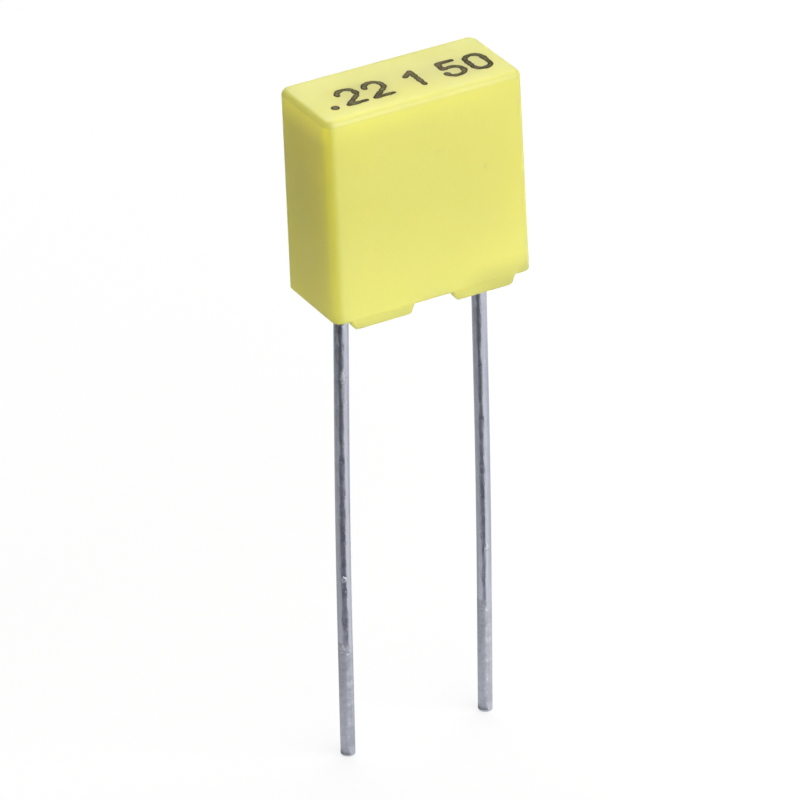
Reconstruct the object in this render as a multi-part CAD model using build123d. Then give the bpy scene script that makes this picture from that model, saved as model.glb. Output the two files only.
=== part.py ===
from build123d import *
from math import cos, radians, sin, tan
import os

# Boxed polyester film capacitor with two radial wires for a printed circuit board.
# Millimetres. The origin is on the seating plane, midway between the wires: +Z points
# up out of the board, X runs along the box from wire to wire, and -Y is the front.

# Moulded case. Its length along X follows from the wires.
case_thickness = 3.4  # over the rim, along Y
seat_height = 7.5  # seating plane to the top face
side_wall = 0.45  # at the rim
top_wall = 0.5
draft_angle = 0.4  # degrees, each side leans in towards the top, outside and inside
corner_radius = 0.35  # outside, the upright corners
top_edge_radius = 0.22  # outside, round the top face
cavity_corner_radius = 0.2
cavity_top_radius = 0.19
rim_radius = 0.06  # outside edge of the rim

# Standing feet, two on each long wall
foot_height = 0.38
foot_gap = 1.44  # between the two feet of one wall, at the rim
foot_end_margin = 0.62  # from a foot to the end of the case, at the rim
foot_setback = 0.065  # its outer face stands behind the wall's
foot_face_lean = 7.0  # degrees, the outer face leans in towards the tip
foot_end_slope = 16.0  # degrees, the ends close in towards the tip
foot_tip_radius = 0.16
foot_root_radius = 0.1
foot_edge_radius = 0.04  # along the outer edge of the tip

# Wires
lead_diameter = 0.5
lead_pitch = 5.05
lead_end_gap = 0.375  # resin between a wire and the end wall
lead_length = 16.65  # below the seating plane
lead_weld_length = 3.6  # stretch that lies on the sprayed contact
lead_end_round = 0.05
exit_bend_radius = 1.5  # where a wire comes out of the resin
left_exit_lean = 2.65  # degrees towards -X as the wire leaves the resin
left_tip_lean = 1.65  # degrees towards -X at its tip
right_exit_lean = 1.0
right_tip_lean = 1.9
bow_share = 0.45  # of each run, taken by the long bow that joins the two leans

# Capacitor element: the flattened winding and the metal sprayed on its ends
winding_side_gap = 0.25  # resin between the element and a long wall
winding_top_gap = 0.25  # resin between the element and the top wall
winding_bottom_gap = 0.89  # from the resin's surface up to the element
spray_thickness = 0.3
spray_bevel = 0.1
weld_sink = 0.08  # how deep the wire is pressed into the spray

# Resin
resin_recess = 0.28  # from the rim up to the resin's surface
meniscus_radius = 0.18  # where the resin climbs the walls and the wires
meniscus_lip = 0.03  # thickness of the resin where a meniscus ends
meniscus_sink = 0.02  # how far the end of its curve lies under the resin's surface
lip_recess = 0.06  # from the rim up to the meniscus on the wall

# Sizes and places that follow from the ones above
lead_radius = lead_diameter / 2
case_length = lead_pitch + lead_diameter + 2 * (lead_end_gap + side_wall)
cavity_length = case_length - 2 * side_wall
cavity_thickness = case_thickness - 2 * side_wall
rim_z = foot_height
cavity_height = seat_height - top_wall - rim_z
foot_length = (case_length - foot_gap) / 2 - foot_end_margin
resin_z = rim_z + resin_recess
exit_z = resin_z - meniscus_radius + meniscus_sink
winding_bottom = resin_z + winding_bottom_gap
winding_top = seat_height - top_wall - winding_top_gap
winding_height = winding_top - winding_bottom
winding_thickness = cavity_thickness - 2 * winding_side_gap
spray_face_x = lead_pitch / 2 - lead_radius + weld_sink
winding_end_x = spray_face_x - spray_thickness


def drafted_block(length, thickness, height, upright_radius, top_radius):
    """A block that stands on the rim's plane and narrows towards its rounded top."""
    block = extrude(Rectangle(length, thickness), height, taper=draft_angle)
    block = fillet(block.edges().group_by(Axis.Z)[1], upright_radius)
    block = fillet(block.edges().group_by(Axis.Z)[-1], top_radius)
    return Pos(0, 0, rim_z) * block


def foot():
    """One foot, at +X and +Y. Its inner face is in line with the wall of the cavity."""
    top = foot_height + side_wall  # the foot's body runs up inside the wall
    root = foot_length / 2
    tip = root - foot_height * tan(radians(foot_end_slope))
    flare = root + 2 * foot_root_radius
    side_view = FilletPolyline(
        [(-flare, top), (-flare, foot_height), (-root, foot_height), (-tip, 0),
         (tip, 0), (root, foot_height), (flare, foot_height), (flare, top)],
        radius=[0, 0, foot_root_radius, foot_tip_radius,
                foot_tip_radius, foot_root_radius, 0, 0],
        close=True,
    )
    inner = case_thickness / 2 - side_wall
    outer = case_thickness / 2 - foot_setback
    outer_tip = outer - foot_height * tan(radians(foot_face_lean))
    end_view = FilletPolyline(
        [(inner, top), (outer, top), (outer, foot_height), (outer_tip, 0), (inner, 0)],
        radius=[0, 0, 0, foot_edge_radius, 0],
        close=True,
    )
    across = extrude(Plane.XZ * make_face(side_view), -case_thickness)
    along = extrude(Plane.YZ * make_face(end_view), flare, both=True)
    return Pos((foot_gap + foot_length) / 2, 0, 0) * (across & along)


def case():
    """The moulded box: drafted walls, open at the bottom, with its four feet."""
    height = seat_height - rim_z
    shell = drafted_block(case_length, case_thickness, height, corner_radius, top_edge_radius)
    shell = fillet(shell.edges().group_by(Axis.Z)[0], rim_radius)
    shell -= cavity()
    right_feet = foot() + mirror(foot(), Plane.XZ)
    return shell + right_feet + mirror(right_feet, Plane.YZ)


def cavity():
    return drafted_block(
        cavity_length, cavity_thickness, cavity_height, cavity_corner_radius, cavity_top_radius
    )


def element_section(x):
    """The outline of the flattened winding, across X."""
    outline = SlotOverall(winding_height, winding_thickness, rotation=90)
    middle_z = (winding_top + winding_bottom) / 2
    return Plane.YZ.offset(x) * Pos(0, middle_z) * outline


def film_winding():
    return extrude(element_section(0), winding_end_x, both=True)


def end_spray(side):
    """The metal sprayed on one end of the winding, with the groove its wire is welded in."""
    layer = extrude(element_section(winding_end_x), spray_thickness)
    layer = chamfer(layer.edges().group_by(Axis.X)[-1], spray_bevel)
    groove = Pos(lead_pitch / 2, 0, winding_bottom) * Cylinder(
        lead_radius, lead_weld_length, align=(Align.CENTER, Align.CENTER, Align.MIN)
    )
    layer -= groove
    return layer if side > 0 else mirror(layer, Plane.YZ)


def lead(side, exit_lean, tip_lean):
    """One wire: straight down the sprayed contact, then out of the resin with a slight lean
    and a long bow. Leans are in degrees towards -X."""
    x = side * lead_pitch / 2
    run = (lead_length + exit_z) / 2
    exit_angle = radians(exit_lean)
    tip_angle = radians(tip_lean)
    start = Vector(x, 0, winding_bottom + lead_weld_length)
    leaves = Vector(x, 0, exit_z)
    middle = leaves - run * Vector(sin(exit_angle), 0, cos(exit_angle))
    tip = middle - run * Vector(sin(tip_angle), 0, cos(tip_angle))
    bow_radius = bow_share * run / tan(abs(tip_angle - exit_angle) / 2)
    path = FilletPolyline(
        start, leaves, middle, tip, radius=[exit_bend_radius, bow_radius]
    )
    section = Plane(origin=path @ 0, z_dir=path % 0) * Circle(lead_radius)
    wire = sweep(section, path)
    return fillet(wire.edges().group_by(Axis.Z)[0], lead_end_round)


def wire_meniscus(x):
    """The collar of resin that climbs down one wire, with a hollow side."""
    neck_radius = lead_radius + meniscus_lip
    collar = Cylinder(
        neck_radius + meniscus_radius,
        winding_bottom - exit_z,
        align=(Align.CENTER, Align.CENTER, Align.MIN),
    )
    return Pos(x, 0, exit_z) * (collar - Torus(neck_radius + meniscus_radius, meniscus_radius))


def resin_fill(held):
    """The potting: it fills the box round the pieces it holds, and its surface climbs the
    walls and the wires in small menisci."""
    lip_space = Pos(0, 0, rim_z) * Box(case_length, case_thickness, 2 * lip_recess)
    pool_space = drafted_block(
        cavity_length - 2 * meniscus_lip,
        cavity_thickness - 2 * meniscus_lip,
        resin_recess,
        meniscus_radius + meniscus_lip,
        meniscus_radius,
    )
    fill = cavity() - lip_space - pool_space
    fill += wire_meniscus(-lead_pitch / 2) + wire_meniscus(lead_pitch / 2)
    for piece in held:
        fill -= piece
    return fill


os.makedirs("parts", exist_ok=True)
inside = {
    "film_winding": film_winding(),
    "end_spray_left": end_spray(-1),
    "end_spray_right": end_spray(1),
    "lead_left": lead(-1, left_exit_lean, left_tip_lean),
    "lead_right": lead(1, right_exit_lean, right_tip_lean),
}
pieces = {"case": case(), "resin_fill": resin_fill(inside.values()), **inside}
for name, piece in pieces.items():
    export_step(piece, f"parts/{name}.step")
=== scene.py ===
from math import acos, cos, pi, radians, sin, sqrt, tan

import bmesh
import bpy
from mathutils import Matrix, Vector


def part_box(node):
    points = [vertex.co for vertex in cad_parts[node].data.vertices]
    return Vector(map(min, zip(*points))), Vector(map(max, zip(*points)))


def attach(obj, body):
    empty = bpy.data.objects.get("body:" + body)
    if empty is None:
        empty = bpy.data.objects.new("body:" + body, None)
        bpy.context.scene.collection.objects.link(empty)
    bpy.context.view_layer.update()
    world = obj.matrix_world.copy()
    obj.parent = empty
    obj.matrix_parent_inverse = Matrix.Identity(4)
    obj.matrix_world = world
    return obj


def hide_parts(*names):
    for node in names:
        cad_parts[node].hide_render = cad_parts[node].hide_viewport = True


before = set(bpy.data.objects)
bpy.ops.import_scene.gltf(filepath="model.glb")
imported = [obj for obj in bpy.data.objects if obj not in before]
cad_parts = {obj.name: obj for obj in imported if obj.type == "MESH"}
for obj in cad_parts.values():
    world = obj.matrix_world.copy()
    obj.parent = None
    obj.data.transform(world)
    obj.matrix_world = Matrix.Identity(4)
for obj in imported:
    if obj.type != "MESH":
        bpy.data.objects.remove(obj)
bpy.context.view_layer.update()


# Film winding -------------------------------------------------------------------------
# Two metallised polyester films, wound together on a flat mandrel and hot pressed. The
# thin edges of the turns lie side by side along X and leave very fine ridges all round.
film_silver = (0.50, 0.50, 0.51, 1), (0.68, 0.68, 0.69, 1)  # darkest and brightest


def feed(tree, node, sockets):
    """Links the node's sockets that are given another node's socket, and sets the rest."""
    for key, value in sockets.items():
        if isinstance(value, bpy.types.NodeSocket):
            tree.links.new(value, node.inputs[key])
        else:
            node.inputs[key].default_value = value


def put(tree, kind, sockets=None, **settings):
    """Adds a node with its settings and what its sockets are given."""
    node = tree.nodes.new(kind)
    for name, value in settings.items():
        setattr(node, name, value)
    feed(tree, node, sockets or {})
    return node


def sum_of(tree, operation, *values):
    """The output of a Math node."""
    return put(tree, "ShaderNodeMath", dict(enumerate(values)), operation=operation).outputs[0]


def spread(tree, value, low, high, to_low=0.0, to_high=1.0):
    """The value's stretch from low to high, drawn out smoothly over the new range."""
    sockets = {0: value, 1: low, 2: high, 3: to_low, 4: to_high}
    return put(tree, "ShaderNodeMapRange", sockets, interpolation_type="SMOOTHSTEP").outputs[0]


def between(tree, share, low, high):
    """A value between two, by a share from 0 to 1."""
    return spread(tree, share, 0.0, 1.0, low, high)


def tint(tree, share, first, second):
    """A colour between two, by the share of the second."""
    sockets = {0: share, 6: first, 7: second}
    return put(tree, "ShaderNodeMix", sockets, data_type="RGBA").outputs[2]


def name_sockets(tree, in_out, kind, *names):
    """Gives a node group named inputs or outputs of one kind."""
    for name in names:
        tree.interface.new_socket(name, in_out=in_out, socket_type="NodeSocket" + kind)


def bare_material(name):
    """A new material and its node tree, still empty."""
    material = bpy.data.materials.new(name)
    material.use_nodes = True
    material.node_tree.nodes.clear()
    return material, material.node_tree


def start_finish(name):
    """A new material: itself, its node tree, its shader and the object's own coordinates."""
    material, tree = bare_material(name)
    shader = put(tree, "ShaderNodeBsdfPrincipled")
    put(tree, "ShaderNodeOutputMaterial", {"Surface": shader.outputs[0]})
    place = put(tree, "ShaderNodeTexCoord").outputs["Object"]
    return material, tree, shader, place


def build_unevenness():
    """Node group: broad patches, fine grain and sparse specks over a surface, 0 to 1."""
    tree = bpy.data.node_groups.new("unevenness", "ShaderNodeTree")
    name_sockets(tree, "INPUT", "Vector", "Place")
    name_sockets(tree, "INPUT", "Float", "Patch Size", "Grain Size", "Speck Size")
    name_sockets(tree, "OUTPUT", "Float", "Patches", "Grain", "Specks")
    inside = put(tree, "NodeGroupInput").outputs
    found = {}
    for name, size, detail, low, high in (
        ("Patches", "Patch Size", 2.0, 0.3, 0.7),
        ("Grain", "Grain Size", 3.0, 0.28, 0.72),
        ("Specks", "Speck Size", 1.0, 0.66, 0.74),
    ):
        scale = sum_of(tree, "DIVIDE", 1.0, inside[size])
        sockets = {"Vector": inside["Place"], "Scale": scale, "Detail": detail}
        noise = put(tree, "ShaderNodeTexNoise", sockets).outputs[0]
        found[name] = spread(tree, noise, low, high)
    put(tree, "NodeGroupOutput", found)
    return tree


def uneven(tree, place, patch, grain, speck):
    """Places the unevenness group in a material; sizes are in the units of the place."""
    sockets = {"Place": place, "Patch Size": patch, "Grain Size": grain, "Speck Size": speck}
    return put(tree, "ShaderNodeGroup", sockets, node_tree=unevenness).outputs


def relief(tree, *layers):
    """Bumps laid one over another, each a pattern and its height in metres."""
    normal = None
    for pattern, height in layers:
        sockets = {"Strength": 1.0, "Distance": height, "Height": pattern}
        if normal is not None:
            sockets["Normal"] = normal
        normal = put(tree, "ShaderNodeBump", sockets).outputs[0]
    return normal


unevenness = build_unevenness()


def pressed_film():
    material, tree, shader, place = start_finish("pressed_film")
    edges = put(tree, "ShaderNodeMapping", {"Vector": place, "Scale": (1.0, 0.04, 0.04)})
    ridges = uneven(tree, edges.outputs[0], patch=0.0004, grain=0.00002, speck=0.00005)
    creases = uneven(tree, place, patch=0.0006, grain=0.0001, speck=0.0002)
    sockets = {
        "Base Color": tint(tree, ridges["Patches"], *film_silver),
        "Metallic": 0.9,
        "Roughness": between(tree, creases["Patches"], 0.24, 0.42),
        "Normal": relief(tree, (creases["Patches"], 0.000015), (ridges["Grain"], 0.000003)),
    }
    feed(tree, shader, sockets)
    return material


def dress(node, material):
    """Gives a solid of the frame its finish."""
    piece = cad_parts[node]
    piece.data.materials.clear()
    piece.data.materials.append(material)


dress("film_winding", pressed_film())


# Sprayed contacts ---------------------------------------------------------------------
# Molten zinc sprayed on both ends of the winding, where it bites into the film's edges.
# It is a matt, grainy grey crust with small pits.
zinc_grey = (0.20, 0.20, 0.21, 1), (0.46, 0.46, 0.47, 1)  # darkest and palest
zinc_pit = (0.10, 0.10, 0.10, 1)


def zinc_crust():
    material, tree, shader, place = start_finish("zinc_crust")
    crust = uneven(tree, place, patch=0.0003, grain=0.00004, speck=0.00006)
    grey = tint(tree, crust["Grain"], *zinc_grey)
    sockets = {
        "Base Color": tint(tree, crust["Specks"], grey, zinc_pit),
        "Metallic": 0.8,
        "Roughness": between(tree, crust["Patches"], 0.55, 0.75),
        "Normal": relief(tree, (crust["Grain"], 0.000018), (crust["Specks"], -0.00002)),
    }
    feed(tree, shader, sockets)
    return material


crust_finish = zinc_crust()
for end in ("end_spray_left", "end_spray_right"):
    dress(end, crust_finish)


# Wires --------------------------------------------------------------------------------
# Tinned copper wire, 0.5 mm, welded into the sprayed contacts. Each one leaves the resin
# with a slight lean and a long bow, and is cut off square with its edge broken.
millimetre = 0.001
wire_radius = 0.25
wire_pitch = 5.05
wire_top = 5.15
wire_exit = 0.5  # where it comes out of the resin
wire_length = 16.65  # below the board
wire_leans = {"left": (2.65, 1.65), "right": (1.0, 1.9)}  # degrees towards -X, exit and tip
wire_exit_bend = 1.5
wire_bow_share = 0.45  # of each run, taken by the long bow between its two leans
wire_end_round = 0.05
wire_end_steps = (1.0, 0.75, 0.5, 0.3, 0.15, 0.05, 0.0)  # shares of that round, to the tip
bright_tin = (0.49, 0.507, 0.57, 1), (0.585, 0.605, 0.685, 1)
taped_tin = (0.41, 0.423, 0.465, 1), (0.57, 0.585, 0.64, 1)  # dulled by a bandolier's tape
tape_edge = (4.3, 4.55)  # heights above the tip between which the taped stretch ends
fresh_tin_and_glint = (0.8, 0.8, 0.84, 1)  # in nicks, and on the beads as a painted highlight
glinting_beads = (  # drops left by the tinning, drawn paler as a painted highlight: middle and size, in metres
    ((-0.00272, -0.00025, -0.00238), (0.00011, 0.0002, 0.00030)),
    ((-0.00307, -0.00022, -0.00984), (0.00010, 0.0002, 0.00013)),
    ((0.00229, -0.00025, -0.01030), (0.00010, 0.0002, 0.00013)),
    ((-0.00326, -0.00012, -0.01243), (0.00014, 0.0002, 0.00014)),
)


def dab(tree, mask, share, under, colour):
    """The colour over another one where the mask is, at that share of its strength."""
    return tint(tree, sum_of(tree, "MULTIPLY", mask, share), under, colour)


def vector_of(tree, operation, *values):
    """The outputs of a Vector Math node: Vector and Value."""
    sockets = dict(enumerate(values))
    return put(tree, "ShaderNodeVectorMath", sockets, operation=operation).outputs


def smudge(tree, place, middle, size, wobble):
    """1 on a small mark of that size round its middle, 0 outside it; both in metres. From
    core on, a share of its size, it fades out."""
    core = 0.45
    aside = vector_of(tree, "SUBTRACT", place, middle)["Vector"]
    shares = vector_of(tree, "MULTIPLY", aside, [1 / length for length in size])["Vector"]
    away = vector_of(tree, "LENGTH", shares)["Value"]
    return spread(tree, sum_of(tree, "ADD", away, wobble), core, 1.0, 1.0, 0.0)


def tinned_finish():
    material, tree, shader, place = start_finish("tinned_wire")
    along = put(tree, "ShaderNodeAttribute", attribute_name="wire_place").outputs["Vector"]
    drawn = put(tree, "ShaderNodeMapping", {"Vector": along, "Scale": (1.0, 1.0, 0.03)})
    lines = uneven(tree, drawn.outputs[0], patch=0.12, grain=0.03, speck=0.05)
    marks = uneven(tree, along, patch=0.35, grain=0.06, speck=0.11)
    stretched = put(tree, "ShaderNodeMapping", {"Vector": along, "Scale": (1.0, 1.0, 0.3)})
    waves = uneven(tree, stretched.outputs[0], patch=0.22, grain=0.1, speck=0.14)
    to_tip = put(tree, "ShaderNodeSeparateXYZ", {0: along}).outputs[2]
    ragged = sum_of(tree, "ADD", to_tip, sum_of(tree, "MULTIPLY", marks["Patches"], 0.5))
    taped = spread(tree, ragged, *tape_edge, 1.0, 0.0)
    wobble = sum_of(tree, "MULTIPLY_ADD", marks["Grain"], 0.4, -0.2)
    bead_glints = 0.0
    for middle, size in glinting_beads:
        bead_glints = sum_of(tree, "ADD", bead_glints, smudge(tree, place, middle, size, wobble))

    bright = tint(tree, lines["Patches"], *bright_tin)
    streaks = sum_of(tree, "ADD", marks["Patches"], lines["Patches"])
    dull = tint(tree, sum_of(tree, "MULTIPLY", streaks, 0.5), *taped_tin)
    nicked = dab(tree, marks["Specks"], 0.3, tint(tree, taped, bright, dull), fresh_tin_and_glint)
    rough = between(tree, marks["Patches"], 0.27, 0.35)
    rough = sum_of(tree, "ADD", rough, sum_of(tree, "MULTIPLY", taped, 0.25))
    dented = sum_of(tree, "MULTIPLY_ADD", taped, 0.9, 0.1)
    sockets = {
        # Paler on the beads: a painted highlight over their real bump.
        "Base Color": dab(tree, bead_glints, 0.4, nicked, fresh_tin_and_glint),
        "Metallic": 1.0,
        "Roughness": sum_of(tree, "MULTIPLY_ADD", bead_glints, 0.15, rough),
        "Normal": relief(
            tree,
            (lines["Grain"], 0.0000004),
            (bead_glints, 0.000022),
            (marks["Specks"], 0.000003),
            (waves["Patches"], 0.000009),
            (sum_of(tree, "MULTIPLY", marks["Patches"], dented), 0.00002),
        ),
    }
    feed(tree, shader, sockets)
    return material


def round_corners(tree, route, points):
    """The route with its corners rounded, each to its own point's radius."""
    bend = put(tree, "GeometryNodeInputRadius").outputs[0]
    sockets = {"Curve": route, "Count": points, "Radius": bend}
    return put(tree, "GeometryNodeFilletCurve", sockets, mode="POLY").outputs[0]


def end_tree(tree, shape, finish, name):
    """Shades the shape smooth, makes it real, gives it its material and puts it out."""
    smooth = put(tree, "GeometryNodeSetShadeSmooth", {0: shape}).outputs[0]
    whole = put(tree, "GeometryNodeRealizeInstances", {0: smooth}).outputs[0]
    done = put(tree, "GeometryNodeSetMaterial", {"Geometry": whole, "Material": finish})
    put(tree, "NodeGroupOutput", {name: done.outputs[0]})


def build_wire_maker():
    """Geometry Nodes: bends a polyline, each corner with its own point's radius, and draws
    the wire along it. It keeps the place on the straight wire as wire_place, in mm."""
    tree = bpy.data.node_groups.new("wire_maker", "GeometryNodeTree")
    name_sockets(tree, "INPUT", "Geometry", "Route")
    name_sockets(tree, "INPUT", "Float", "Wire Radius", "End Round")
    name_sockets(tree, "INPUT", "Int", "Sides", "Bend Points")
    name_sockets(tree, "INPUT", "Material", "Finish")
    name_sockets(tree, "OUTPUT", "Geometry", "Wire")
    inside = put(tree, "NodeGroupInput").outputs
    bent = round_corners(tree, inside["Route"], inside["Bend Points"])

    length = put(tree, "GeometryNodeSplineLength").outputs[0]
    run = put(tree, "GeometryNodeSplineParameter").outputs[1]
    to_tip = sum_of(tree, "SUBTRACT", length, run)
    short = sum_of(tree, "MINIMUM", sum_of(tree, "DIVIDE", to_tip, inside["End Round"]), 1.0)
    missing = sum_of(tree, "POWER", sum_of(tree, "SUBTRACT", 1.0, short), 2.0)
    fullness = sum_of(tree, "SQRT", sum_of(tree, "SUBTRACT", 1.0, missing))
    lack = sum_of(tree, "SUBTRACT", 1.0, fullness)
    lost = sum_of(tree, "MULTIPLY", lack, inside["End Round"])
    radius = sum_of(tree, "SUBTRACT", inside["Wire Radius"], lost)

    kept = tree.nodes.new("GeometryNodeCaptureAttribute")
    kept.capture_items.new("FLOAT", "To Tip")
    kept.capture_items.new("FLOAT", "Radius")
    tree.links.new(bent, kept.inputs[0])
    tree.links.new(to_tip, kept.inputs[1])
    tree.links.new(radius, kept.inputs[2])

    sockets = {"Resolution": inside["Sides"], "Radius": 1.0}
    ring = put(tree, "GeometryNodeCurvePrimitiveCircle", sockets)
    ring_place = tree.nodes.new("GeometryNodeCaptureAttribute")
    ring_place.capture_items.new("VECTOR", "Place")
    tree.links.new(ring.outputs[0], ring_place.inputs[0])
    tree.links.new(put(tree, "GeometryNodeInputPosition").outputs[0], ring_place.inputs[1])

    sockets = {
        "Curve": kept.outputs[0],
        "Profile Curve": ring_place.outputs[0],
        "Scale": kept.outputs[2],
        "Fill Caps": True,
    }
    drawn = put(tree, "GeometryNodeCurveToMesh", sockets).outputs[0]
    around = put(tree, "ShaderNodeSeparateXYZ", {0: ring_place.outputs[1]}).outputs
    sides = [sum_of(tree, "MULTIPLY", around[axis], inside["Wire Radius"]) for axis in (0, 1)]
    straight = put(tree, "ShaderNodeCombineXYZ", {0: sides[0], 1: sides[1], 2: kept.outputs[1]})
    sockets = {"Geometry": drawn, "Name": "wire_place", "Value": straight.outputs[0]}
    kind = {"data_type": "FLOAT_VECTOR", "domain": "POINT"}
    marked = put(tree, "GeometryNodeStoreNamedAttribute", sockets, **kind).outputs[0]
    end_tree(tree, marked, inside["Finish"], "Wire")
    return tree


def draw_route(name, splines):
    """A curve object of straight runs; each point is (place, bend radius), in millimetres."""
    curve = bpy.data.curves.new(name, "CURVE")
    curve.dimensions = "3D"
    for points, closed in splines:
        spline = curve.splines.new("POLY")
        spline.points.add(len(points) - 1)
        spline.use_cyclic_u = closed
        for point, (place, bend) in zip(spline.points, points):
            point.co = (*place, 1.0)
            point.radius = bend
    route = bpy.data.objects.new(name, curve)
    bpy.context.scene.collection.objects.link(route)
    return route


def make_along(route, tree, **values):
    """The plain mesh that a Geometry Nodes tree makes along a route, which it uses up."""
    modifier = route.modifiers.new(tree.name, "NODES")
    modifier.node_group = tree
    sockets = {s.name: s.identifier for s in tree.interface.items_tree if s.in_out == "INPUT"}
    for name, value in values.items():
        modifier[sockets[name.replace("_", " ").title()]] = value
    graph = bpy.context.evaluated_depsgraph_get()
    mesh = bpy.data.meshes.new_from_object(route.evaluated_get(graph), depsgraph=graph)
    route.modifiers.remove(modifier)
    bpy.data.objects.remove(route)
    return mesh


def settle(name, mesh, slot, *nodes):
    """Puts a mesh drawn in millimetres into the frame, in place of the solids named."""
    mesh.transform(Matrix.Scale(millimetre, 4))
    piece = bpy.data.objects.new(name, mesh)
    bpy.context.scene.collection.objects.link(piece)
    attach(piece, "root")
    if nodes:
        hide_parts(*nodes)
    return piece


wire_maker = build_wire_maker()
tin_finish = tinned_finish()
wire_run = (wire_length + wire_exit) / 2
wire_meshes = {}
for side, (exit_lean, tip_lean) in wire_leans.items():
    x = wire_pitch / 2 * (1 if side == "right" else -1)
    lean, end_lean = radians(exit_lean), radians(tip_lean)
    leaves = Vector((x, 0, wire_exit))
    middle = leaves - wire_run * Vector((sin(lean), 0, cos(lean)))
    tip = middle - wire_run * Vector((sin(end_lean), 0, cos(end_lean)))
    bow = wire_bow_share * wire_run / tan(abs(end_lean - lean) / 2)
    back_up = (middle - tip).normalized()
    points = [(Vector((x, 0, wire_top)), 0), (leaves, wire_exit_bend), (middle, bow)]
    points += [(tip + back_up * wire_end_round * share, 0) for share in wire_end_steps]
    mesh = make_along(
        draw_route("route_" + side, [(points, False)]),
        wire_maker,
        wire_radius=wire_radius,
        end_round=wire_end_round,
        sides=40,
        bend_points=20,
        finish=tin_finish,
    )
    wire_meshes[side] = mesh.copy()
    settle("wire_" + side, mesh, "tinned_wire", "lead_" + side)


# Case ---------------------------------------------------------------------------------
# Injection-moulded box of lemon-yellow PBT, open below, with a little draft, rounded
# edges and two standing feet on each long wall. The plastic is satin and faintly clear.
case_length = 7.2
case_thickness = 3.4
case_top = 7.5
side_wall = 0.45
ceiling = 7.0
draft = radians(0.4)
corner_radius = 0.35
top_edge_radius = 0.22
cavity_corner_radius = 0.2
cavity_top_radius = 0.19
rim_radius = 0.06
rim = 0.38  # height of the rim above the board, which is the feet's height
foot_middle = 1.85
foot_half_length = 1.13
foot_end_slope = radians(16)
foot_setback = 0.065
foot_lean = radians(7)
foot_corner_radius = 0.2
foot_tip_radius = 0.16
foot_root_radius = 0.1
foot_edge_radius = 0.04
inner_edge_radius = 0.03
corner_start = 3.13  # x where a long wall runs into its corner
sink = 0.012  # how far the middle of a broad wall is drawn in as the moulding cools
sink_middle = 3.94  # its height above the board
sink_reach = (3.2, 3.4)  # from its middle, along the wall and up it
wall_heights = (7.24, 7.1, 6.8, 6.3, 5.7, 5.0, 4.3, 3.6, 2.9, 2.2, 1.6, 1.1, 0.75, 0.5)
cavity_heights = (0.45, 0.6, 1.2, 3.0, 5.0, 6.6)
foot_levels = (0.04, 0.35, 0.7, 0.93)  # shares of the way down a foot's leaning face
top_insets = (0.9, 0.45, 0.08)  # of the rings on the flat top
merge_distance = 0.0004
sharp_edge = radians(40)
case_yellow = (0.822, 0.805, 0.115, 1), (0.832, 0.800, 0.100, 1)
top_light_yellow = (0.90, 0.87, 0.113, 1), (0.845, 0.825, 0.115, 1)  # painted light near the top, at the -X end and the +X end
# Painted light: the walls are drawn lighter towards the rim.
lower_wall_light_yellow = (0.91, 0.89, 0.145, 1)
corner_glow_yellow = (1.0, 0.97, 0.13, 1)  # painted glow of light through the plastic, in the top corners at the -X end
edge_shade_yellow = (0.785, 0.76, 0.115, 1)  # painted shade on the rounding round the top, toning down its highlight
low_dark_yellow = (0.68, 0.66, 0.11, 1)  # darker on the feet and low on the walls, most at +X; on the feet this is painted shade
dull_yellow = (0.55, 0.50, 0.10, 1)
case_marks = (  # middle, size, share and colour of a few faint scuffs, and of a nick on the top edge drawn pale as a painted highlight, in metres
    ((0.00202, -0.00166, 0.00454), (0.00008, 0.0002, 0.00013), 0.20, (0.52, 0.53, 0.11, 1)),
    ((-0.00252, -0.00166, 0.00579), (0.00010, 0.0002, 0.00010), 0.08, dull_yellow),
    ((0.00035, -0.00166, 0.00550), (0.00030, 0.0002, 0.00012), 0.08, dull_yellow),
    ((0.00066, -0.00166, 0.00424), (0.00022, 0.0002, 0.00006), 0.08, (0.97, 0.96, 0.40, 1)),
    # A nick on the top front edge, drawn pale: a painted highlight.
    ((-0.00180, -0.00169, 0.00749), (0.00012, 0.0001, 0.00010), 0.45, (0.97, 0.96, 0.50, 1)),
)


def even_turns(first, last, steps):
    """Angles from the first to the last in even steps, both included."""
    return [first + (last - first) * step / steps for step in range(steps + 1)]


def foot_side_view():
    """(distance from the foot's middle, depth below the rim) down one end of a foot."""
    slope = pi / 2 - foot_end_slope
    reach = tan(slope / 2)
    root_x = foot_half_length + foot_root_radius * reach
    tip_x = foot_half_length - rim * tan(foot_end_slope) - foot_tip_radius * reach
    points = []
    for turn in even_turns(0, slope, 6):
        x = root_x - foot_root_radius * sin(turn)
        points.append((x, foot_root_radius * (1 - cos(turn))))
    for turn in reversed(even_turns(0, slope, 8)):
        x = tip_x + foot_tip_radius * sin(turn)
        points.append((x, rim - foot_tip_radius * (1 - cos(turn))))
    return points


def wall_stations():
    """Where the case's outline is divided: ends, corners, and the long wall with the foot's
    depth at each place. They run from the middle of the +X end to the middle of +Y."""
    stations = [("end", share, 0.0) for share in (0.12, 0.35, 0.58, 0.8, 0.93)]
    stations += [("corner", step / 10, 0.0) for step in range(11)]
    wall = [(corner_start, 0.0)]
    wall += [(foot_middle + x, depth) for x, depth in foot_side_view()]
    wall += [(foot_middle + x, rim) for x in (0.675, 0.225, -0.225, -0.675)]
    wall += [(foot_middle - x, depth) for x, depth in reversed(foot_side_view())]
    wall += [(0.45, 0.0), (0.15, 0.0)]
    return stations + [("wall", x, depth) for x, depth in wall]


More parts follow.
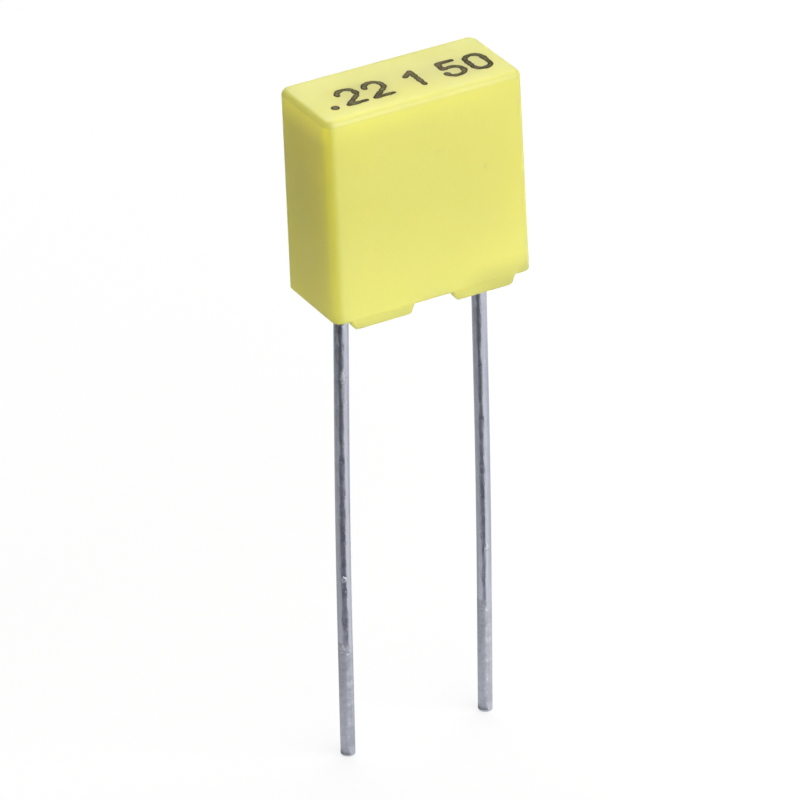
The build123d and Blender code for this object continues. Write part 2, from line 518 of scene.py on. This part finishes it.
def lay_ring(shell, stations, inset_at, height_at, radius):
    """One closed ring round the case, with its four quarters mirrored from one."""
    quarter = []
    for kind, at, depth in stations:
        inset, z = inset_at(depth), height_at(depth)
        half_x, half_y = case_length / 2 - inset, case_thickness / 2 - inset
        centre_x, centre_y = half_x - radius, half_y - radius
        squeeze = min(1.0, half_x / (case_length / 2 - side_wall))
        last_x = corner_start * squeeze
        if kind == "end":
            x, y = half_x, at * centre_y
        elif kind == "corner":
            whole = acos((last_x - centre_x) / radius) if last_x > centre_x else pi / 2
            x = centre_x + radius * cos(at * whole)
            y = centre_y + radius * sin(at * whole)
        else:
            x = at * squeeze
            past = max(0.0, x - centre_x)
            y = centre_y + sqrt(max(0.0, radius**2 - past**2)) if past else half_y
            along, up = x / sink_reach[0], (z - sink_middle) / sink_reach[1]
            if inset < side_wall and abs(along) < 1 and abs(up) < 1:
                y -= sink * (1 - along**2) ** 2 * (1 - up**2) ** 2
        quarter.append((x, y, z))
    ring = list(quarter)
    ring += [(-x, y, z) for x, y, z in reversed(quarter)]
    ring += [(-x, -y, z) for x, y, z in quarter]
    ring += [(x, -y, z) for x, y, z in reversed(quarter)]
    return [shell.verts.new(place) for place in ring]


def top_rounding(turn, radius, wall_inset, top):
    """Inset and height on a rounding between a drafted wall and the flat above it."""
    middle = top - radius
    inset = wall_inset + (middle - rim) * tan(draft) + radius / cos(draft)
    return inset - radius * cos(turn), middle + radius * sin(turn)


def join_rings(shell, rings):
    """Faces from each ring to the next one; all have the same number of points."""
    for upper, lower in zip(rings, rings[1:]):
        for i in range(len(upper)):
            j = (i + 1) % len(upper)
            shell.faces.new((upper[i], lower[i], lower[j], upper[j]))


def moulded_shell():
    """The case as one closed mesh, from the top face down the walls, round the rim and the
    feet, and up the cavity to its ceiling."""
    shell = bmesh.new()
    stations = wall_stations()
    rings = []

    def lay(inset, z, radius):
        inset_at = inset if callable(inset) else lambda depth: inset
        height_at = z if callable(z) else lambda depth: z
        rings.append(lay_ring(shell, stations, inset_at, height_at, max(radius, 1e-6)))

    flat_inset = top_rounding(pi / 2, top_edge_radius, 0, case_top)[0]
    flat_radius = corner_radius - top_edge_radius
    for extra in top_insets:
        lay(flat_inset + extra, case_top, flat_radius - extra)
    for turn in reversed(even_turns(draft, pi / 2, 12)):
        inset, z = top_rounding(turn, top_edge_radius, 0, case_top)
        lay(inset, z, flat_radius + top_edge_radius * cos(turn))
    for z in wall_heights:
        lay((z - rim) * tan(draft), z, corner_radius)
    for turn in even_turns(0, pi / 2, 6):
        inset = rim_radius * (1 - cos(turn))
        lay(inset, rim + rim_radius * (1 - sin(turn)), corner_radius - inset)

    def edge_of(depth):
        return min(foot_edge_radius, 0.4 * depth)

    def face_inset(down):
        return foot_setback + down * tan(foot_lean)

    lay(foot_setback, rim, corner_radius - foot_setback)
    for share in foot_levels:
        lay(
            lambda depth, s=share: face_inset(s * (depth - edge_of(depth))),
            lambda depth, s=share: rim - s * (depth - edge_of(depth)),
            foot_corner_radius,
        )
    for turn in even_turns(foot_lean, pi / 2, 5):

        def edge_inset(depth, turn=turn):
            r = edge_of(depth)
            return face_inset(depth - r) + r / cos(foot_lean) - r * cos(turn)

        lay(
            edge_inset,
            lambda depth, t=turn: rim - depth + edge_of(depth) * (1 - sin(t)),
            foot_corner_radius,
        )
    for turn in even_turns(0, pi / 2, 4):
        lay(
            side_wall - inner_edge_radius * (1 - sin(turn)),
            lambda depth, t=turn: rim - depth + inner_edge_radius * (1 - cos(t)),
            cavity_corner_radius,
        )
    for z in cavity_heights:
        lay(side_wall + (z - rim) * tan(draft), z, cavity_corner_radius)
    for turn in even_turns(draft, pi / 2, 6):
        inset, z = top_rounding(turn, cavity_top_radius, side_wall, ceiling)
        lay(inset, z, cavity_corner_radius - cavity_top_radius * (1 - cos(turn)))

    join_rings(shell, rings)
    shell.faces.new(rings[0])
    shell.faces.new(reversed(rings[-1]))
    return shell


def to_mesh(name, shell, material):
    """Merges doubles, turns the faces outwards, shades smooth up to the sharp edges."""
    bmesh.ops.remove_doubles(shell, verts=shell.verts, dist=merge_distance)
    bmesh.ops.recalc_face_normals(shell, faces=shell.faces)
    mesh = bpy.data.meshes.new(name)
    shell.to_mesh(mesh)
    shell.free()
    mesh.shade_smooth()
    mesh.set_sharp_from_angle(angle=sharp_edge)
    mesh.materials.append(material)
    return mesh


def satin_plastic():
    material, tree, shader, place = start_finish("satin_plastic")
    skin = uneven(tree, place, patch=0.0016, grain=0.00007, speck=0.00012)
    flow = uneven(tree, place, patch=0.0045, grain=0.0005, speck=0.0002)
    across, _, height = put(tree, "ShaderNodeSeparateXYZ", {0: place}).outputs
    lower_wall_light = spread(tree, height, 0.0005, 0.0045, 1.0, 0.0)
    top_light = spread(tree, height, 0.0064, 0.0074)
    at_left_end = spread(tree, across, -0.00352, -0.00342, 1.0, 0.0)
    near_feet = spread(tree, height, 0.0002, 0.0012, 1.0, 0.0)
    at_right_feet = spread(tree, across, 0.0006, 0.0022, 0.0, 0.9)
    on_feet = spread(tree, height, 0.0003, 0.0005, 0.5, 0.0)
    low_darkening = sum_of(tree, "MULTIPLY", near_feet, at_right_feet)
    low_darkening = sum_of(tree, "MAXIMUM", low_darkening, on_feet)
    above_wall = spread(tree, height, 0.00726, 0.00734)
    below_flat = spread(tree, height, 0.00742, 0.007493, 1.0, 0.0)
    edge_shade = sum_of(tree, "MINIMUM", above_wall, below_flat)

    top = tint(tree, spread(tree, across, -0.003, 0.003), *top_light_yellow)
    yellow = tint(tree, flow["Patches"], *case_yellow)
    yellow = dab(tree, skin["Specks"], 0.05, yellow, dull_yellow)
    # Painted light, lighter towards the rim.
    yellow = tint(tree, lower_wall_light, yellow, lower_wall_light_yellow)
    # Painted light: lighter near the top, most at the -X end.
    yellow = tint(tree, top_light, yellow, top)
    # Painted glow in the top corners at the -X end, where light shines through.
    yellow = dab(tree, top_light, at_left_end, yellow, corner_glow_yellow)
    # Darker on the feet, which is painted shade, and low on the walls towards +X.
    yellow = tint(tree, low_darkening, yellow, low_dark_yellow)
    # Painted shade on the rounding round the top, against its highlight.
    yellow = dab(tree, edge_shade, 0.8, yellow, edge_shade_yellow)
    wobble = sum_of(tree, "MULTIPLY_ADD", skin["Grain"], 0.5, -0.25)
    for middle, size, share, colour in case_marks:
        mark = smudge(tree, place, middle, size, wobble)
        yellow = dab(tree, mark, share, yellow, colour)
    shader.subsurface_method = "BURLEY"
    sockets = {
        "Base Color": yellow,
        "IOR": 1.62,
        "Specular IOR Level": 1.0,
        "Subsurface Weight": 1.0,
        "Subsurface Radius": (1.0, 0.78, 0.22),
        "Subsurface Scale": 0.0026,
        "Roughness": between(tree, skin["Patches"], 0.42, 0.50),
        "Normal": relief(
            tree,
            (flow["Patches"], 0.000012),
            (skin["Patches"], 0.000003),
            (skin["Grain"], 0.0000015),
        ),
    }
    feed(tree, shader, sockets)
    return material


case_mesh = to_mesh("moulded_case", moulded_shell(), satin_plastic())
settle("moulded_case", case_mesh, "case_plastic", "case")


# Potting ------------------------------------------------------------------------------
# Pale epoxy, poured in with the box upside down and cured. It fills the box round the
# winding, and its surface climbs the walls and both wires in small menisci.
resin_level = 0.66
resin_lip = 0.44  # lowest edge of the resin on the wall
meniscus_radius = 0.18
meniscus_lip = 0.03
meniscus_margin = 0.02  # flat round the wall's meniscus
collar_margin = 0.03  # flat round a wire's collar
winding_bottom, winding_top = 1.55, 6.75
winding_gap = 0.25  # between the winding and a long wall
contact_face = 2.355  # x of a sprayed contact's outer face
contact_bevel = 0.1
resin_yellow = (0.78, 0.73, 0.33, 1), (0.82, 0.78, 0.42, 1)
resin_pit = (0.5, 0.44, 0.18, 1)


def rounded_outline(half_x, half_y, radius):
    """Points round a rectangle with rounded corners, counter-clockwise."""
    points = []
    for quarter, (sx, sy) in enumerate(((1, 1), (-1, 1), (-1, -1), (1, -1))):
        for step in range(9):
            turn = pi / 2 * (quarter + step / 8)
            x = sx * (half_x - radius) + radius * cos(turn)
            y = sy * (half_y - radius) + radius * sin(turn)
            points.append((x, y))
    return points


def lift(shell, outline, z):
    return [shell.verts.new((x, y, z)) for x, y in outline]


def resin_block():
    """The potting without its pockets: block, wall meniscus, flat surface, wire collars."""
    shell = bmesh.new()
    half_x = case_length / 2 - side_wall
    half_y = case_thickness / 2 - side_wall
    rings = []

    def lay(inset, z, radius):
        outline = rounded_outline(half_x - inset, half_y - inset, radius)
        rings.append(lift(shell, outline, z))

    for turn in reversed(even_turns(draft, pi / 2, 6)):
        inset, z = top_rounding(turn, cavity_top_radius, 0, ceiling)
        lay(inset, z, cavity_corner_radius - cavity_top_radius * (1 - cos(turn)))
    inset = (resin_lip - rim) * tan(draft)
    lay(inset, resin_lip, cavity_corner_radius)
    inset += meniscus_lip
    for turn in even_turns(0, pi / 2, 8):
        z = resin_level - meniscus_radius * (1 - sin(turn))
        radius = meniscus_lip + meniscus_radius * cos(turn)
        lay(inset + meniscus_radius * (1 - cos(turn)), z, radius)
    lay(inset + meniscus_radius + meniscus_margin, resin_level, 0.01)
    join_rings(shell, rings)
    shell.faces.new(rings[0])

    open_rings = [rings[-1]]
    neck = wire_radius + meniscus_lip
    rise = resin_level - wire_exit
    around = [k * pi / 24 for k in range(48)]
    for x in (-wire_pitch / 2, wire_pitch / 2):
        collar = []
        for step, turn in enumerate([0.0] + even_turns(0, pi / 2, 8)):
            radius = neck + rise * (1 - sin(turn)) + (collar_margin if step == 0 else 0)
            circle = [(x + radius * cos(k), radius * sin(k)) for k in around]
            collar.append(lift(shell, circle, wire_exit + rise * cos(turn)))
        join_rings(shell, collar)
        shell.faces.new(collar[-1])
        open_rings.append(collar[0])
    edges = [shell.edges.get((r[i], r[i - 1])) for r in open_rings for i in range(len(r))]
    bmesh.ops.triangle_fill(shell, use_beauty=True, edges=edges, normal=(0, 0, -1))
    return shell


def element_block():
    """The pressed winding with its contacts, as one block: a pocket in the resin."""
    shell = bmesh.new()
    radius = case_thickness / 2 - side_wall - winding_gap
    low, high = winding_bottom + radius, winding_top - radius
    rings = []
    for x, smaller in (
        (-contact_face, contact_bevel),
        (-contact_face + contact_bevel, 0),
        (contact_face - contact_bevel, 0),
        (contact_face, contact_bevel),
    ):
        r = radius - smaller
        ring = [(r * cos(turn), high + r * sin(turn)) for turn in even_turns(0, pi, 24)]
        ring += [(-r * cos(turn), low - r * sin(turn)) for turn in even_turns(0, pi, 24)]
        rings.append([shell.verts.new((x, y, z)) for y, z in ring])
    join_rings(shell, rings)
    shell.faces.new(rings[0])
    shell.faces.new(rings[-1])
    return shell


def cut_out(mesh, *cutters):
    """The mesh with the other meshes taken out of it."""
    block = bpy.data.objects.new("block", mesh)
    bpy.context.scene.collection.objects.link(block)
    tools = []
    for cutter in cutters:
        tool = bpy.data.objects.new("cutter", cutter)
        bpy.context.scene.collection.objects.link(tool)
        cut = block.modifiers.new("cut", "BOOLEAN")
        cut.operation, cut.solver, cut.object = "DIFFERENCE", "EXACT", tool
        tools.append(tool)
    graph = bpy.context.evaluated_depsgraph_get()
    result = bpy.data.meshes.new_from_object(block.evaluated_get(graph), depsgraph=graph)
    for scrap in [block, *tools]:
        bpy.data.objects.remove(scrap)
    return result


def cast_epoxy():
    material, tree, shader, place = start_finish("cast_epoxy")
    cast = uneven(tree, place, patch=0.0012, grain=0.0001, speck=0.00016)
    pale = tint(tree, cast["Patches"], *resin_yellow)
    sockets = {
        "Base Color": dab(tree, cast["Specks"], 0.3, pale, resin_pit),
        "IOR": 1.54,
        "Subsurface Weight": 0.3,
        "Subsurface Radius": (1.0, 0.8, 0.3),
        "Subsurface Scale": 0.0003,
        "Roughness": between(tree, cast["Patches"], 0.14, 0.26),
        "Normal": relief(tree, (cast["Patches"], 0.00001), (cast["Specks"], -0.000012)),
    }
    feed(tree, shader, sockets)
    return material


epoxy_finish = cast_epoxy()
resin_mesh = cut_out(
    to_mesh("potting", resin_block(), epoxy_finish),
    to_mesh("pocket", element_block(), epoxy_finish),
    wire_meshes["left"],
    wire_meshes["right"],
)
resin_mesh.materials.clear()
resin_mesh.materials.append(epoxy_finish)
resin_mesh.set_sharp_from_angle(angle=sharp_edge)
settle("potting", resin_mesh, "potting_resin", "resin_fill")


# Printed numbers ----------------------------------------------------------------------
# Plain numbers stamped on the top face in brown-black ink, a thin coat with slightly
# uneven edges and round stroke ends.
stroke_width = 0.2
ink_height = 0.008
digit_height = 1.25
digit_base_y = -0.875
signs = ((".", -2.78), ("2", -2.27), ("2", -1.3), ("1", 0.16), ("5", 1.4), ("0", 2.36))
ink_brown = (0.050, 0.042, 0.014, 1), (0.115, 0.100, 0.038, 1)
worn_ink = (0.3, 0.27, 0.08, 1)
crown_ink = (0.22, 0.195, 0.105, 1)  # on the highest part of a stroke
thin_ink = (0.34, 0.31, 0.08, 1)  # along its edges
drop_radii = (0.38, 0.58)  # shares of the stroke's width


def sign_strokes():
    """Each sign's stroke in a box 0.8 wide: ((x, y, corner radius), ...), and if it closes."""
    high = digit_height - stroke_width
    return {
        ".": (((0, 0, 0.04), (0.09, 0, 0.04), (0.09, 0.09, 0.04), (0, 0.09, 0.04)), True),
        "0": (((0, 0, 0.29), (0.6, 0, 0.29), (0.6, high, 0.29), (0, high, 0.29)), True),
        "1": (((0.02, high - 0.26, 0), (0.3, high, 0), (0.3, 0, 0)), False),
        "2": (
            (
                (0.0, high - 0.3, 0),
                (0.0, high, 0.29),
                (0.6, high, 0.29),
                (0.6, high - 0.5, 0.3),
                (0.0, 0.0, 0),
                (0.64, 0.0, 0),
            ),
            False,
        ),
        "5": (
            (
                (0.58, high, 0),
                (0.08, high, 0),
                (0.02, high - 0.44, 0.02),
                (0.62, high - 0.38, 0.3),
                (0.62, 0.0, 0.3),
                (0.0, 0.0, 0.26),
                (0.0, 0.22, 0),
            ),
            False,
        ),
    }


def build_ink_stamp():
    """Geometry Nodes: lays drops of ink along strokes, joins them and presses them flat."""
    tree = bpy.data.node_groups.new("ink_stamp", "GeometryNodeTree")
    name_sockets(tree, "INPUT", "Geometry", "Strokes")
    name_sockets(tree, "INPUT", "Float", "Stroke Width", "Ink Height", "Surface")
    name_sockets(tree, "INPUT", "Float", "Drop Spacing", "Voxel Size")
    name_sockets(tree, "INPUT", "Int", "Bend Points")
    name_sockets(tree, "INPUT", "Material", "Finish")
    name_sockets(tree, "OUTPUT", "Geometry", "Ink")
    inside = put(tree, "NodeGroupInput").outputs
    rounded = round_corners(tree, inside["Strokes"], inside["Bend Points"])
    sockets = {"Curve": rounded, "Length": inside["Drop Spacing"]}
    drops = put(tree, "GeometryNodeCurveToPoints", sockets, mode="LENGTH").outputs[0]
    spot = put(tree, "GeometryNodeInputPosition").outputs[0]
    noise = put(tree, "ShaderNodeTexNoise", {"Vector": spot, "Scale": 7.0, "Detail": 2.0})
    swell = spread(tree, noise.outputs[0], 0.28, 0.72, *drop_radii)
    sockets = {
        "Points": drops,
        "Density": 1.0,
        "Voxel Size": inside["Voxel Size"],
        "Radius": sum_of(tree, "MULTIPLY", inside["Stroke Width"], swell),
    }
    pool = put(tree, "GeometryNodePointsToVolume", sockets, resolution_mode="VOXEL_SIZE")
    sockets = {
        "Volume": pool.outputs[0],
        "Voxel Size": inside["Voxel Size"],
        "Threshold": 0.1,
    }
    skin = put(tree, "GeometryNodeVolumeToMesh", sockets, resolution_mode="VOXEL_SIZE")
    parts = put(tree, "ShaderNodeSeparateXYZ", {0: spot}).outputs
    half = sum_of(tree, "DIVIDE", inside["Stroke Width"], 2.0)
    domed = sum_of(tree, "DIVIDE", parts[2], half)
    height = sum_of(tree, "MULTIPLY_ADD", domed, inside["Ink Height"], inside["Surface"])
    flat = put(tree, "ShaderNodeCombineXYZ", {0: parts[0], 1: parts[1], 2: height})
    sockets = {"Geometry": skin.outputs[0], "Position": flat.outputs[0]}
    pressed = put(tree, "GeometryNodeSetPosition", sockets).outputs[0]
    end_tree(tree, pressed, inside["Finish"], "Ink")
    return tree


def stamping_ink():
    material, tree, shader, place = start_finish("stamping_ink")
    coat = uneven(tree, place, patch=0.00035, grain=0.00005, speck=0.0001)
    height = put(tree, "ShaderNodeSeparateXYZ", {0: place}).outputs[2]
    crown = spread(tree, height, 0.0075063, 0.0075079)
    crown_share = between(tree, coat["Patches"], 0.3, 1.0)
    thickness = spread(tree, height, 0.0075003, 0.0075045)
    ink = tint(tree, coat["Patches"], *ink_brown)
    ink = dab(tree, coat["Specks"], 0.4, ink, worn_ink)
    ink = dab(tree, crown, crown_share, ink, crown_ink)
    sockets = {
        "Base Color": tint(tree, thickness, thin_ink, ink),
        "Specular IOR Level": 0.15,
        "Roughness": between(tree, coat["Patches"], 0.7, 0.85),
        "Normal": relief(tree, (coat["Grain"], 0.000002)),
    }
    feed(tree, shader, sockets)
    return material


strokes = sign_strokes()
base = digit_base_y + stroke_width / 2
runs = []
for sign, left in signs:
    points, closed = strokes[sign]
    runs.append(([((left + x, base + y, 0), bend) for x, y, bend in points], closed))
ink_mesh = make_along(
    draw_route("numbers", runs),
    build_ink_stamp(),
    stroke_width=stroke_width,
    ink_height=ink_height,
    surface=case_top,
    drop_spacing=0.02,
    voxel_size=0.02,
    bend_points=10,
    finish=stamping_ink(),
)
settle("printed_numbers", ink_mesh, "case_plastic")


# Stage --------------------------------------------------------------------------------
# A plain pale floor under the wires' tips. Seen or mirrored it is white with a part of the
# object's shadow, and further off it fades to plain white. The light that it throws back
# on the object is a mild grey.
floor_gap = 0.00001  # under the lower tip
floor_z = min(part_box("lead_left")[0].z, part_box("lead_right")[0].z) - floor_gap
floor_reach = 1.5
floor_fade = (0.09, 0.45)  # distances from the middle over which it turns plain white
floor_grey = (0.68, 0.645, 0.62, 1)
shadow_grey = (0.4, 0.4, 0.4, 1)  # the part of its white that shadows darken
floor_glow = 0.68  # the part that they leave alone
white = (1, 1, 1, 1)


def flat_sheet(name, corners, z, material):
    mesh = bpy.data.meshes.new(name)
    mesh.from_pydata([(x, y, z) for x, y in corners], [], [range(len(corners))])
    mesh.materials.append(material)
    sheet = bpy.data.objects.new(name, mesh)
    bpy.context.scene.collection.objects.link(sheet)
    return sheet


def eye_rays(tree):
    """Two masks: for what the camera sees, and for what a mirror or a clear body shows."""
    path = put(tree, "ShaderNodeLightPath").outputs
    mirrored = sum_of(tree, "MAXIMUM", path["Is Glossy Ray"], path["Is Transmission Ray"])
    return path["Is Camera Ray"], mirrored


def blend_of(tree, share, first, second):
    """The output of a Mix Shader node; both shaders are given as nodes."""
    sockets = {0: share, 1: first.outputs[0], 2: second.outputs[0]}
    return put(tree, "ShaderNodeMixShader", sockets)


def floor_paint():
    material, tree = bare_material("floor_paint")
    mild = put(tree, "ShaderNodeBsdfDiffuse", {"Color": floor_grey})
    shaded = put(tree, "ShaderNodeBsdfDiffuse", {"Color": shadow_grey})
    glow = put(tree, "ShaderNodeEmission", {"Color": white, "Strength": floor_glow})
    near = put(tree, "ShaderNodeAddShader", {0: shaded.outputs[0], 1: glow.outputs[0]})
    far = put(tree, "ShaderNodeEmission", {"Color": white, "Strength": 1.0})
    place = put(tree, "ShaderNodeTexCoord").outputs["Object"]
    distance = vector_of(tree, "LENGTH", place)["Value"]
    seen = blend_of(tree, spread(tree, distance, *floor_fade), near, far)
    top_side = blend_of(tree, sum_of(tree, "MAXIMUM", *eye_rays(tree)), mild, seen)
    below = put(tree, "ShaderNodeNewGeometry").outputs["Backfacing"]
    clear = put(tree, "ShaderNodeBsdfTransparent")
    both = blend_of(tree, below, top_side, clear)
    put(tree, "ShaderNodeOutputMaterial", {"Surface": both.outputs[0]})
    return material


corner_signs = ((-1, -1), (1, -1), (1, 1), (-1, 1))
corners = [(floor_reach * x, floor_reach * y) for x, y in corner_signs]
flat_sheet("floor", corners, floor_z, floor_paint())


# Cards --------------------------------------------------------------------------------
# Thin cards on the floor round the wires, which only mirroring surfaces see. They give the
# tin its dark and pale bands, as the things round a work table do, and throw neither light
# nor shadow.
camera_azimuth = radians(-27.306)
card_lift = 0.0001  # height of the first layer above the floor
cards_middle = (0.0012, 0.0)
near_edge, far_edge = 0.037, 1.3
grey_tone = (0.53, 0.54, 0.54)
cards = (  # name, reach, bearings from the camera's in degrees, tone, layer
    ("dark_card", (0.0003, near_edge), (-58, 22), (0.135, 0.14, 0.165), 1),
    ("grey_card", (0.0003, near_edge), (-170, -58), grey_tone, 1),
    ("pale_card", (0.0102, near_edge), (72, 165), (0.79, 0.81, 0.85), 1),
    ("far_card", (near_edge, far_edge), (-105, 3), (0.04, 0.04, 0.04), 1),
    ("flank_card", (0.0105, near_edge), (-60, -46), grey_tone, 1.02),
    ("side_card", (near_edge, far_edge), (-170, -105), (0.31, 0.32, 0.38), 1),
)


def card_paint(name, tone):
    material, tree = bare_material(name)
    shine = put(tree, "ShaderNodeEmission", {"Color": (*tone, 1), "Strength": 1.0})
    put(tree, "ShaderNodeOutputMaterial", {"Surface": shine.outputs[0]})
    return material


def sector(reach, bearings, middle=cards_middle):
    """Corners between two distances and two bearings from the camera's, seen from a middle."""
    corners = []
    near, far = reach
    steps = even_turns(*bearings, 6)
    for distance, order in ((near, steps), (far, steps[::-1])):
        for bearing in order:
            turn = camera_azimuth + radians(bearing)
            x, y = distance * sin(turn), -distance * cos(turn)
            corners.append((middle[0] + x, middle[1] + y))
    return corners


def lay_card(name, corners, tone, layer):
    card = flat_sheet(name, corners, floor_z + card_lift * layer, card_paint(name, tone))
    card.visible_camera = False
    card.visible_diffuse = False
    card.visible_shadow = False
    card.visible_transmission = False


for name, reach, bearings, tone, layer in cards:
    lay_card(name, sector(reach, bearings), tone, layer)
tips = [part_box("lead_" + side)[0].x + wire_radius * millimetre for side in ("left", "right")]
left_tip, right_tip = tips
front_edge, back_edge, left_edge = -0.0051, 0.003, left_tip - 0.007
near_corners = [
    (left_edge, back_edge),
    (left_edge, front_edge),
    (left_tip - 0.0008, front_edge - 0.0011),
    (right_tip - 0.0006, front_edge),
    (right_tip, 0.0),
    (right_tip, back_edge),
]
lay_card("near_card", near_corners, (0.77, 0.78, 0.82), 1.02)
# Small dark cards round each tip, seen only in mirrors: painted shade for the floor's shadow
# right under the tips.
for side, tip_x in (("left", left_tip), ("right", right_tip)):
    under_tip = sector((0.0, 0.0004), (-180, 20), (tip_x, 0.0))
    lay_card("shade_" + side, under_tip, (0.2, 0.2, 0.2), 1.04)


# Light and camera ---------------------------------------------------------------------
# A large soft light in front on the right and a weak one behind. The sky is white where it
# is seen or mirrored, except that mirrors find it grey on the left, and it lights the
# object softly from all round.
aim = Vector((0, 0, 0.002))
sky_left = (-0.95, 0.1, 0.3)  # middle of the side that mirrors find grey
sky_light = 0.335
camera_elevation = radians(28.704)
camera_roll = radians(-2.781)
camera_distance = 0.193504  # from the middle of the rim
camera_right, camera_up = -0.000320, -0.003947  # how far it is moved off that middle


def soft_light(name, direction, distance, size, power):
    lamp = bpy.data.lights.new(name, "AREA")
    lamp.size = size
    lamp.energy = power
    light = bpy.data.objects.new(name, lamp)
    light.location = aim + Vector(direction).normalized() * distance
    light.rotation_mode = "QUATERNION"
    light.rotation_quaternion = Vector(direction).to_track_quat("Z", "Y")
    bpy.context.scene.collection.objects.link(light)


def sky_paint():
    world = bpy.data.worlds.new("sky")
    world.use_nodes = True
    tree = world.node_tree
    tree.nodes.clear()
    towards = put(tree, "ShaderNodeTexCoord").outputs["Generated"]
    facing = vector_of(tree, "DOT_PRODUCT", towards, sky_left)["Value"]
    seen, mirrored = eye_rays(tree)
    mirrored = sum_of(tree, "MULTIPLY", mirrored, spread(tree, facing, 0.25, 0.75, 1.0, 0.0))
    level = sum_of(tree, "MAXIMUM", sum_of(tree, "MAXIMUM", seen, mirrored), sky_light)
    shine = put(tree, "ShaderNodeBackground", {"Color": white, "Strength": level})
    put(tree, "ShaderNodeOutputWorld", {"Surface": shine.outputs[0]})
    return world


main_direction, back_direction = (0.27, -0.85, 0.38), (0.38, 0.50, 0.80)
soft_light("main_light", main_direction, distance=0.45, size=0.60, power=1.92)
soft_light("back_light", back_direction, distance=0.35, size=0.35, power=0.46)
bpy.context.scene.world = sky_paint()

back = Vector(
    (
        sin(camera_azimuth) * cos(camera_elevation),
        -cos(camera_azimuth) * cos(camera_elevation),
        sin(camera_elevation),
    )
)
level_right = Vector((cos(camera_azimuth), sin(camera_azimuth), 0))
level_up = back.cross(level_right)
right = cos(camera_roll) * level_right + sin(camera_roll) * level_up
up = cos(camera_roll) * level_up - sin(camera_roll) * level_right
lens = bpy.data.cameras.new("camera")
lens.lens = 270
lens.sensor_width = 36
lens.clip_start, lens.clip_end = 0.002, 20
camera = bpy.data.objects.new("camera", lens)
camera.rotation_mode = "QUATERNION"
camera.rotation_quaternion = Matrix((right, up, back)).transposed().to_quaternion()
rim_middle = Vector((0, 0, rim * millimetre))
camera.location = rim_middle + camera_right * right + camera_up * up + camera_distance * back
bpy.context.scene.collection.objects.link(camera)
bpy.context.scene.camera = camera
bpy.context.scene.view_settings.view_transform = "Standard"
